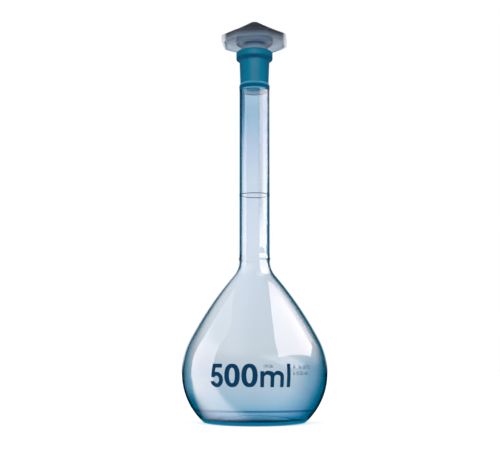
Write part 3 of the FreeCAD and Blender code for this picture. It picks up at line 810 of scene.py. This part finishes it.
def stopperOutline(s, g):
    # over the roof, under the head, down the plug and back up its bore: (reach, height, sidedness)
    rim = g["rimTop"]
    half = s["headFlats"] / 2
    lean = math.tan(math.radians(s["headDraft"]))
    flatsFoot = rim + s["headGap"]
    flatsTop = flatsFoot + s["gripHeight"]
    crown = (s["crownRadius"], flatsTop + s["roofRise"])
    eave = (half, flatsTop)
    sweep = circlesMeet(crown, s["roofArc"], eave, s["roofArc"])
    footReach = half - s["gripHeight"] * lean

    def under(reach):  # the roof's inner face
        return sweep[1] - math.sqrt((s["roofArc"] + s["headWall"])**2 - (reach - sweep[0])**2)

    def plug(height):
        return g["socketBore"] - s["plugGap"] + (height - rim) / (2 * g["socketTaper"])

    innerTop = under(half - s["headWall"])
    innerReach = half - s["headWall"] - (flatsTop - innerTop) * lean
    collar = rim + s["collarGap"]
    collarReach = plug(collar) + s["collarStep"]
    tip = g["socketFoot"] - s["plugOver"]
    coneFoot = tip + s["plugBevel"]
    boreTop = under(plug(flatsTop) - s["plugWall"])

    # the eight-sided head, and its ceiling that grows round towards the collar
    roof = [(0.0, crown[1])] + run((0.0, crown[1]), crown, 1 * mm) + arc(sweep, crown, eave)
    side = run(eave, (footReach, flatsFoot), 1.2 * mm) + [(footReach - s["headWall"], flatsFoot)]
    inside = run(side[-1], (innerReach, innerTop), 1 * mm)
    sided = [(*point, 1.0) for point in roof + side + inside]
    for i in range(s["ceilingSteps"]):
        reach = innerReach + (collarReach - innerReach) * (i + 1) / s["ceilingSteps"]
        sided.append((reach, under(reach), 1 - (i + 1) / s["ceilingSteps"]))

    # the round collar, the plug and its bore
    plain = run((collarReach, under(collarReach)), (collarReach, collar), 1.2 * mm)
    plain += run((collarReach, collar), (plug(collar), collar), 0.9 * mm)
    plain += run((plug(collar), collar), (plug(coneFoot), coneFoot), 2 * mm)
    plain += [(plug(coneFoot) - s["plugBevel"], tip), (plug(tip) - s["plugWall"], tip)]
    plain += run(plain[-1], (plug(boreTop) - s["plugWall"], boreTop), 2 * mm)
    shrunk = [plain[-1][0] * (1 - i / s["domeSteps"]) for i in range(1, s["domeSteps"] + 1)]
    dome = [(reach, under(max(reach, s["crownRadius"]))) for reach in shrunk]
    return sided + [(*point, 0.0) for point in plain + dome]


def sidedness(s):
    def ratio(angle, point):
        # reach of a rounded eight-sided figure against the distance of its flats, fading where point[2] does
        step = 2 * math.pi / s["sides"]
        local = (angle - math.radians(s["turn"]) + step / 2) % step - step / 2
        total = sum(max(math.cos(local + k * step), 0) ** s["cornerRound"] for k in (-1, 0, 1))
        return 1 + point[2] * (total ** (-1 / s["cornerRound"]) - 1)
    return ratio


stopperPiece = turned(
    "stopper_moulding", stopperOutline(stopper, glass), stopper["around"], sidedness(stopper))
rounding = stopperPiece.modifiers.new("edges", "BEVEL")
rounding.width = stopper["edgeRound"]
rounding.segments = stopper["edgeSegments"]
rounding.limit_method = "ANGLE"
rounding.angle_limit = math.radians(stopper["edgeAngle"])
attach(stopperPiece, "stopper")
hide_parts("stopper")
print("stopper moulded:", len(stopperPiece.data.vertices), "points")

plastic = {
    "shades": (  # height over the head's lower edge in mm, and the plastic's shade there: painted shade, darker towards the roof, where less light falls
        (-33, (196, 226, 242)),
        (-1, (196, 226, 242)),
        (4, (196, 212, 228)),
        (7, (166, 170, 190)),
        (10, (124, 124, 144)),
        (16, (110, 110, 130)),
    ),
    "cloud": (160.0, 4.0),  # scale and detail, as for the grain
    "cloudShift": 0.1,
    "cloudy": colour(232, 236, 244),
    "cloudyFrom": (0.45, 0.75),
    "cloudyShare": 0.35,
    "centreShade": colour(140, 152, 176),  # painted shade on the shell close to the collar, where less light comes through
    "centreShadeReach": (13 * mm, 22 * mm),
    "centreShadeShare": 0.6,
    "inner": colour(196, 226, 246),  # the collar, and the plug under it
    "innerReach": 14.0 * mm,
    "innerTop": 9 * mm,  # over the head's lower edge
    "plug": colour(226, 247, 255),
    "plugTop": -0.4 * mm,  # counted from the collar's lower face
    "underCollarShadow": colour(92, 124, 156),  # painted shadow on the plug just under the collar
    "underCollarShadowFrom": (-4 * mm, -1 * mm),
    "underCollarShadowTurn": (0.2, 0.55),
    "ledge": colour(176, 196, 220),  # painted shade, a little darker, on what looks down inside the head
    "ledgeUpward": -0.7,
    "wallShade": colour(58, 62, 80),  # the outer wall, darker towards the roof
    "wallFoot": -1 * mm,
    "wallRise": (0, 4.2 * mm),
    "wallUpward": 0.4,
    "wallOutward": 0.3,
    "wallShare": 0.9,
    "roofShade": colour(22, 24, 36),
    "roofUpward": (0.3, 0.8),
    "roofTurn": (0.4, 0.9),
    "litEnd": colour(236, 238, 246),  # painted light on the thin outer edges at the ends
    "litEndAside": (19.4 * mm, 22.2 * mm),
    "litEndShare": 0.7,
    "tip": colour(200, 242, 255),  # the plug's end and bore, over the socket's foot
    "tipTop": 0.5 * mm,
    "boreReach": 7.4 * mm,
    "boreTop": 14 * mm,
    "chalkRoughness": 0.6,
    "grain": (1800.0, 2.0),
    "bump": (0.15, 0.05 * mm),
    "roughness": 0.42,
    "grainRoughness": 0.12,
    "ior": 1.49,
    "through": 0.88,
}


def milkyPlastic(look, s, g):
    finish, wire = newFinish("stopper_plastic")
    place = wire.place()
    x, y, z = wire.axes(place)
    reach = hypotenuse(x, y)
    normalX, normalY, upward = wire.axes(wire.add("NewGeometry").out("Normal"))
    facing = wire.facing()
    cloud = wire.noise(place, *look["cloud"])
    grain = wire.noise(place, *look["grain"])
    headFoot = g["rimTop"] + s["headGap"]
    collar = g["rimTop"] + s["collarGap"]

    # the shell by height, with painted shade darker towards the roof, and its clouds
    lowest, highest = look["shades"][0][0] * mm, look["shades"][-1][0] * mm
    shades = [((height * mm - lowest) / (highest - lowest), shade) for height, shade in look["shades"]]
    level = (z - (headFoot + lowest)) * (1 / (highest - lowest))
    body = wire.ramp(level + (cloud - 0.5) * look["cloudShift"], shades)
    body = wire.mixColour(wire.smooth(cloud, look["cloudyFrom"]) * look["cloudyShare"], body, look["cloudy"])
    centreShade = 1 - wire.smooth(reach, look["centreShadeReach"])
    body = wire.mixColour(centreShade * look["centreShadeShare"], body, look["centreShade"])

    # the collar and the plug, with a painted shadow under the collar and painted shade on what looks down
    inner = (reach < look["innerReach"]) * (z < headFoot + look["innerTop"])
    foot = wire.smooth(z, look["underCollarShadowFrom"], collar) * (1 - wire.smooth(facing, look["underCollarShadowTurn"]))
    plug = wire.mixColour(foot, look["plug"], look["underCollarShadow"])
    body = wire.mixColour(inner, body, wire.mixColour(z < collar + look["plugTop"], look["inner"], plug))
    body = wire.mixColour(inner * (upward < look["ledgeUpward"]), body, look["ledge"])

    # the outer wall and the roof
    above = z - headFoot
    outward = normalX * x + normalY * y > reach * look["wallOutward"]
    wall = (upward < look["wallUpward"]) * (above > look["wallFoot"]) * (1 - inner)
    shaded = outward * wall * wire.smooth(above, look["wallRise"])
    body = wire.mixColour(shaded * look["wallShare"], body, look["wallShade"])
    roof = wire.smooth(upward, look["roofUpward"]) * wire.smooth(facing, look["roofTurn"])
    body = wire.mixColour(roof, body, look["roofShade"])
    surface = wire.add("BsdfPrincipled", {
        "Base Color": body,
        "Roughness": look["roughness"] + grain * look["grainRoughness"],
        "IOR": look["ior"],
        "Transmission Weight": look["through"],
        "Normal": wire.bump(grain, *look["bump"]),
    })

    # what light doesn't pass: the thin edges at the ends, with painted light, and the plug's end
    litEnd = wall * wire.smooth((x * x) ** 0.5, look["litEndAside"])
    bore = (reach < look["boreReach"]) * (z < g["socketFoot"] + look["boreTop"])
    tip = wire.math("MAXIMUM", z < g["socketFoot"] + look["tipTop"], bore)
    chalky = wire.add("BsdfPrincipled", {
        "Base Color": wire.mixColour(tip, look["litEnd"], look["tip"]),
        "Roughness": look["chalkRoughness"],
        "Specular IOR Level": 0.0,
    })
    share = wire.math("MAXIMUM", tip, litEnd * look["litEndShare"])
    wire.add("OutputMaterial", {"Surface": wire.add("MixShader", {0: share, 1: surface, 2: chalky})})
    return finish


stopperPiece.data.materials.append(milkyPlastic(plastic, stopper, glass))


# world and floor
studio = {
    "horizon": 1.0,
    "zenith": 0.45,
    "brightSide": (0.95, 0.97, 1.0, 1),  # what the glass reflects: pale on the left, and low behind
    "leftWay": (-0.6, 0.1),
    "leftRise": (0.30, 0.55),
    "behindWay": (0.90, 0.97),
    "behindRise": (0.0, 0.06),
    "dimSide": (0.02, 0.06, 0.10, 1),
    "floorWhite": 0.95,
    "floorGlow": 0.58,
    "floorHalf": 6.0,
    "floorDrop": 0.02 * mm,
    "brightFloor": (4.2, 3.1, 2.6, 1),  # the lane on the left that the heel reflects
    "laneStart": -300 * mm,
    "laneEnd": (-12 * mm, 5 * mm),
    "frontEdge": (-44 * mm, -32 * mm),
    "frontSlant": -0.354,
    "backEdge": (-48 * mm, -26 * mm),
    "backSlant": 0.45,
    "dimFloor": (0.0, 0.03, 0.06, 1),
    # painted shade on the paper under the flask, as the glass reflects it
    "contactFloor": (0.0, 0.42, 0.62, 1),
    "contactReach": (36 * mm, 41 * mm),
    "contactShade": colour(30, 98, 132),  # painted shadow of the flask on the paper under the bulb
    "contactNarrow": 1.42,
    "shadeReach": (40 * mm, 51 * mm),
}


def lightPaths(wire):
    # what the camera sees itself, what is seen so or only through glass, and what is seen in a reflection
    rays = wire.add("LightPath")
    direct = rays.out("Is Camera Ray")
    mirrored = rays.out("Glossy Depth") > 0.5
    straight = wire.math("MAXIMUM", direct, rays.out("Is Transmission Ray")) * (1 - mirrored)
    return direct, straight, mirrored


def studioSky(look):
    world = bpy.data.worlds.new("studio")
    world.use_nodes = True
    world.node_tree.nodes.clear()
    wire = Wire(world.node_tree)
    _, straight, mirrored = lightPaths(wire)
    x, y, z = wire.axes(wire.add("TexCoord").out("Generated"))
    level = look["horizon"] - wire.math("MAXIMUM", z, 0) * (look["horizon"] - look["zenith"])
    room = wire.add("CombineXYZ", {"X": level, "Y": level, "Z": level})
    pale = (1 - wire.smooth(x, look["leftWay"])) * wire.smooth(z, look["leftRise"])
    behind = wire.smooth(y, look["behindWay"]) * wire.smooth(z, look["behindRise"])
    reflected = wire.mixColour(pale, look["dimSide"], look["brightSide"])
    reflected = wire.mixColour(behind, reflected, look["brightSide"])
    room = wire.mixColour(mirrored, room, reflected)
    room = wire.mixColour(straight, room, white)
    wire.add("OutputWorld", {"Surface": wire.add("Background", {"Color": room, "Strength": 1.0})})
    return world


def floorPaper(look):
    finish, wire = newFinish("floor_paper")
    direct, straight, mirrored = lightPaths(wire)
    x, y, _ = wire.axes(wire.place())
    paper = wire.add("AddShader", {
        0: wire.add("BsdfDiffuse", {"Color": (look["floorWhite"],) * 3 + (1,)}),
        1: wire.add("Emission", {"Strength": look["floorGlow"]}),
    })
    left = (1 - wire.smooth(x, look["laneEnd"])) * (x > look["laneStart"])
    front = wire.smooth(y + x * look["frontSlant"], look["frontEdge"])
    lane = front * (1 - wire.smooth(y + x * look["backSlant"], look["backEdge"]))
    reflected = wire.mixColour(left * lane, look["dimFloor"], look["brightFloor"])
    under = 1 - wire.smooth(hypotenuse(x, y), look["contactReach"])
    reflected = wire.mixColour(under, reflected, look["contactFloor"])
    seen = wire.add("Emission", {"Color": wire.mixColour(mirrored, white, reflected)})
    throughGlass = straight * (1 - direct)
    shown = wire.add("MixShader", {0: wire.math("MAXIMUM", throughGlass, mirrored), 1: paper, 2: seen})
    # a painted shadow under the bulb, which only the camera sees
    tinted = wire.add("Emission", {"Color": look["contactShade"]})
    oval = hypotenuse(x * look["contactNarrow"], y)
    contact = (1 - wire.smooth(oval, look["shadeReach"])) * direct
    wire.add("OutputMaterial", {"Surface": wire.add("MixShader", {0: contact, 1: shown, 2: tinted})})
    return finish


scene.world = studioSky(studio)
half = studio["floorHalf"]
floorMesh = bpy.data.meshes.new("floor")
floorMesh.from_pydata(
    [(-half, -half, 0), (half, -half, 0), (half, half, 0), (-half, half, 0)], [], [(0, 1, 2, 3)])
floor = bpy.data.objects.new("floor", floorMesh)
floor.location.z = -studio["floorDrop"]
scene.collection.objects.link(floor)
floorMesh.materials.append(floorPaper(studio))


# lamps, in metres: a window on the right and a strip on the left
polished = bpy.data.collections.new("polished")  # what shows their reflections
polished.objects.link(flaskGlass)


def softbox(name, place, facing, width, height, radiance, tint):
    lamp = bpy.data.lights.new(name, "AREA")
    lamp.color = tint
    lamp.shape = "RECTANGLE"
    lamp.size = width
    lamp.size_y = height
    lamp.energy = radiance * math.pi * width * height
    stand = bpy.data.objects.new(name, lamp)
    stand.location = place
    stand.rotation_euler = Vector(facing).to_track_quat("-Z", "Y").to_euler()
    stand.visible_camera = False
    stand.visible_diffuse = False
    stand.visible_transmission = False
    stand.light_linking.receiver_collection = polished
    scene.collection.objects.link(stand)


window = {
    "corner": (0.2472, -0.1704),
    "along": (0.6, 0.8),
    "nearEnd": -0.1,
    "farEnd": 0.6,
    "drawn": 0.85,  # how fast the curtain at the near end closes, above its tie
    "tie": 0.2,
    "sill": (0.27, 2.2),  # how far the lowest slat reaches, and how that grows with height
    "foot": 0.155,
    "slat": 0.025,
    "slats": 32,
    "radiance": 7.4,
    "dimmed": 4.0,  # towards the top
    "further": (  # name, near and far end, foot and head, and share of the dimmed light
        ("right_far", 0.6, 0.9, 0.405, 0.955, 1.0),
        ("right_beyond", 0.9, 1.8, 0.5, 1.3, 0.5),
    ),
    "tint": (1, 0.82, 0.78),
}


def pane(name, nearEnd, farEnd, foot, head, radiance):
    middle = (nearEnd + farEnd) / 2
    place = [corner + step * middle for corner, step in zip(window["corner"], window["along"])]
    softbox(
        name, (*place, (foot + head) / 2), (-window["along"][1], window["along"][0], 0),
        farEnd - nearEnd, head - foot, radiance, window["tint"],
    )


for number in range(window["slats"]):
    foot = window["foot"] + window["slat"] * number
    height = foot + window["slat"] / 2
    nearEnd = window["nearEnd"] + window["drawn"] * max(0, height - window["tie"]) ** 2
    farEnd = min(window["farEnd"], window["sill"][0] + window["sill"][1] * (height - window["foot"]))
    upper = max(0, number / window["slats"] * 2 - 1)
    radiance = window["radiance"] + (window["dimmed"] - window["radiance"]) * upper
    pane(f"right_slat_{number}", nearEnd, farEnd, foot, foot + window["slat"], radiance)
for name, nearEnd, farEnd, foot, head, share in window["further"]:
    pane(name, nearEnd, farEnd, foot, head, window["dimmed"] * share)

strip = {
    "place": (-0.3, -0.02),
    "width": 0.26,
    "full": 0.15,  # it fades out between these heights
    "faded": 0.31,
    "head": 0.5,
    "slats": 8,
    "radiance": 5.4,
    "haze": 1.2,
    "tint": (1, 0.84, 0.86),
}


def stripPart(name, foot, head, fade):
    place = (*strip["place"], (foot + head) / 2)
    radiance = strip["radiance"] + (strip["haze"] - strip["radiance"]) * fade
    tint = [1 - (1 - shade) * (1 - fade) for shade in strip["tint"]]
    softbox(name, place, (1, 0, 0), strip["width"], head - foot, radiance, tint)


stripPart("left_strip", 0, strip["full"], 0)
step = (strip["faded"] - strip["full"]) / strip["slats"]
for number in range(strip["slats"]):
    foot = strip["full"] + step * number
    stripPart(f"left_slat_{number}", foot, foot + step, (number + 0.5) / strip["slats"])
stripPart("left_haze", strip["faded"], strip["head"], 1)
print("stage set")
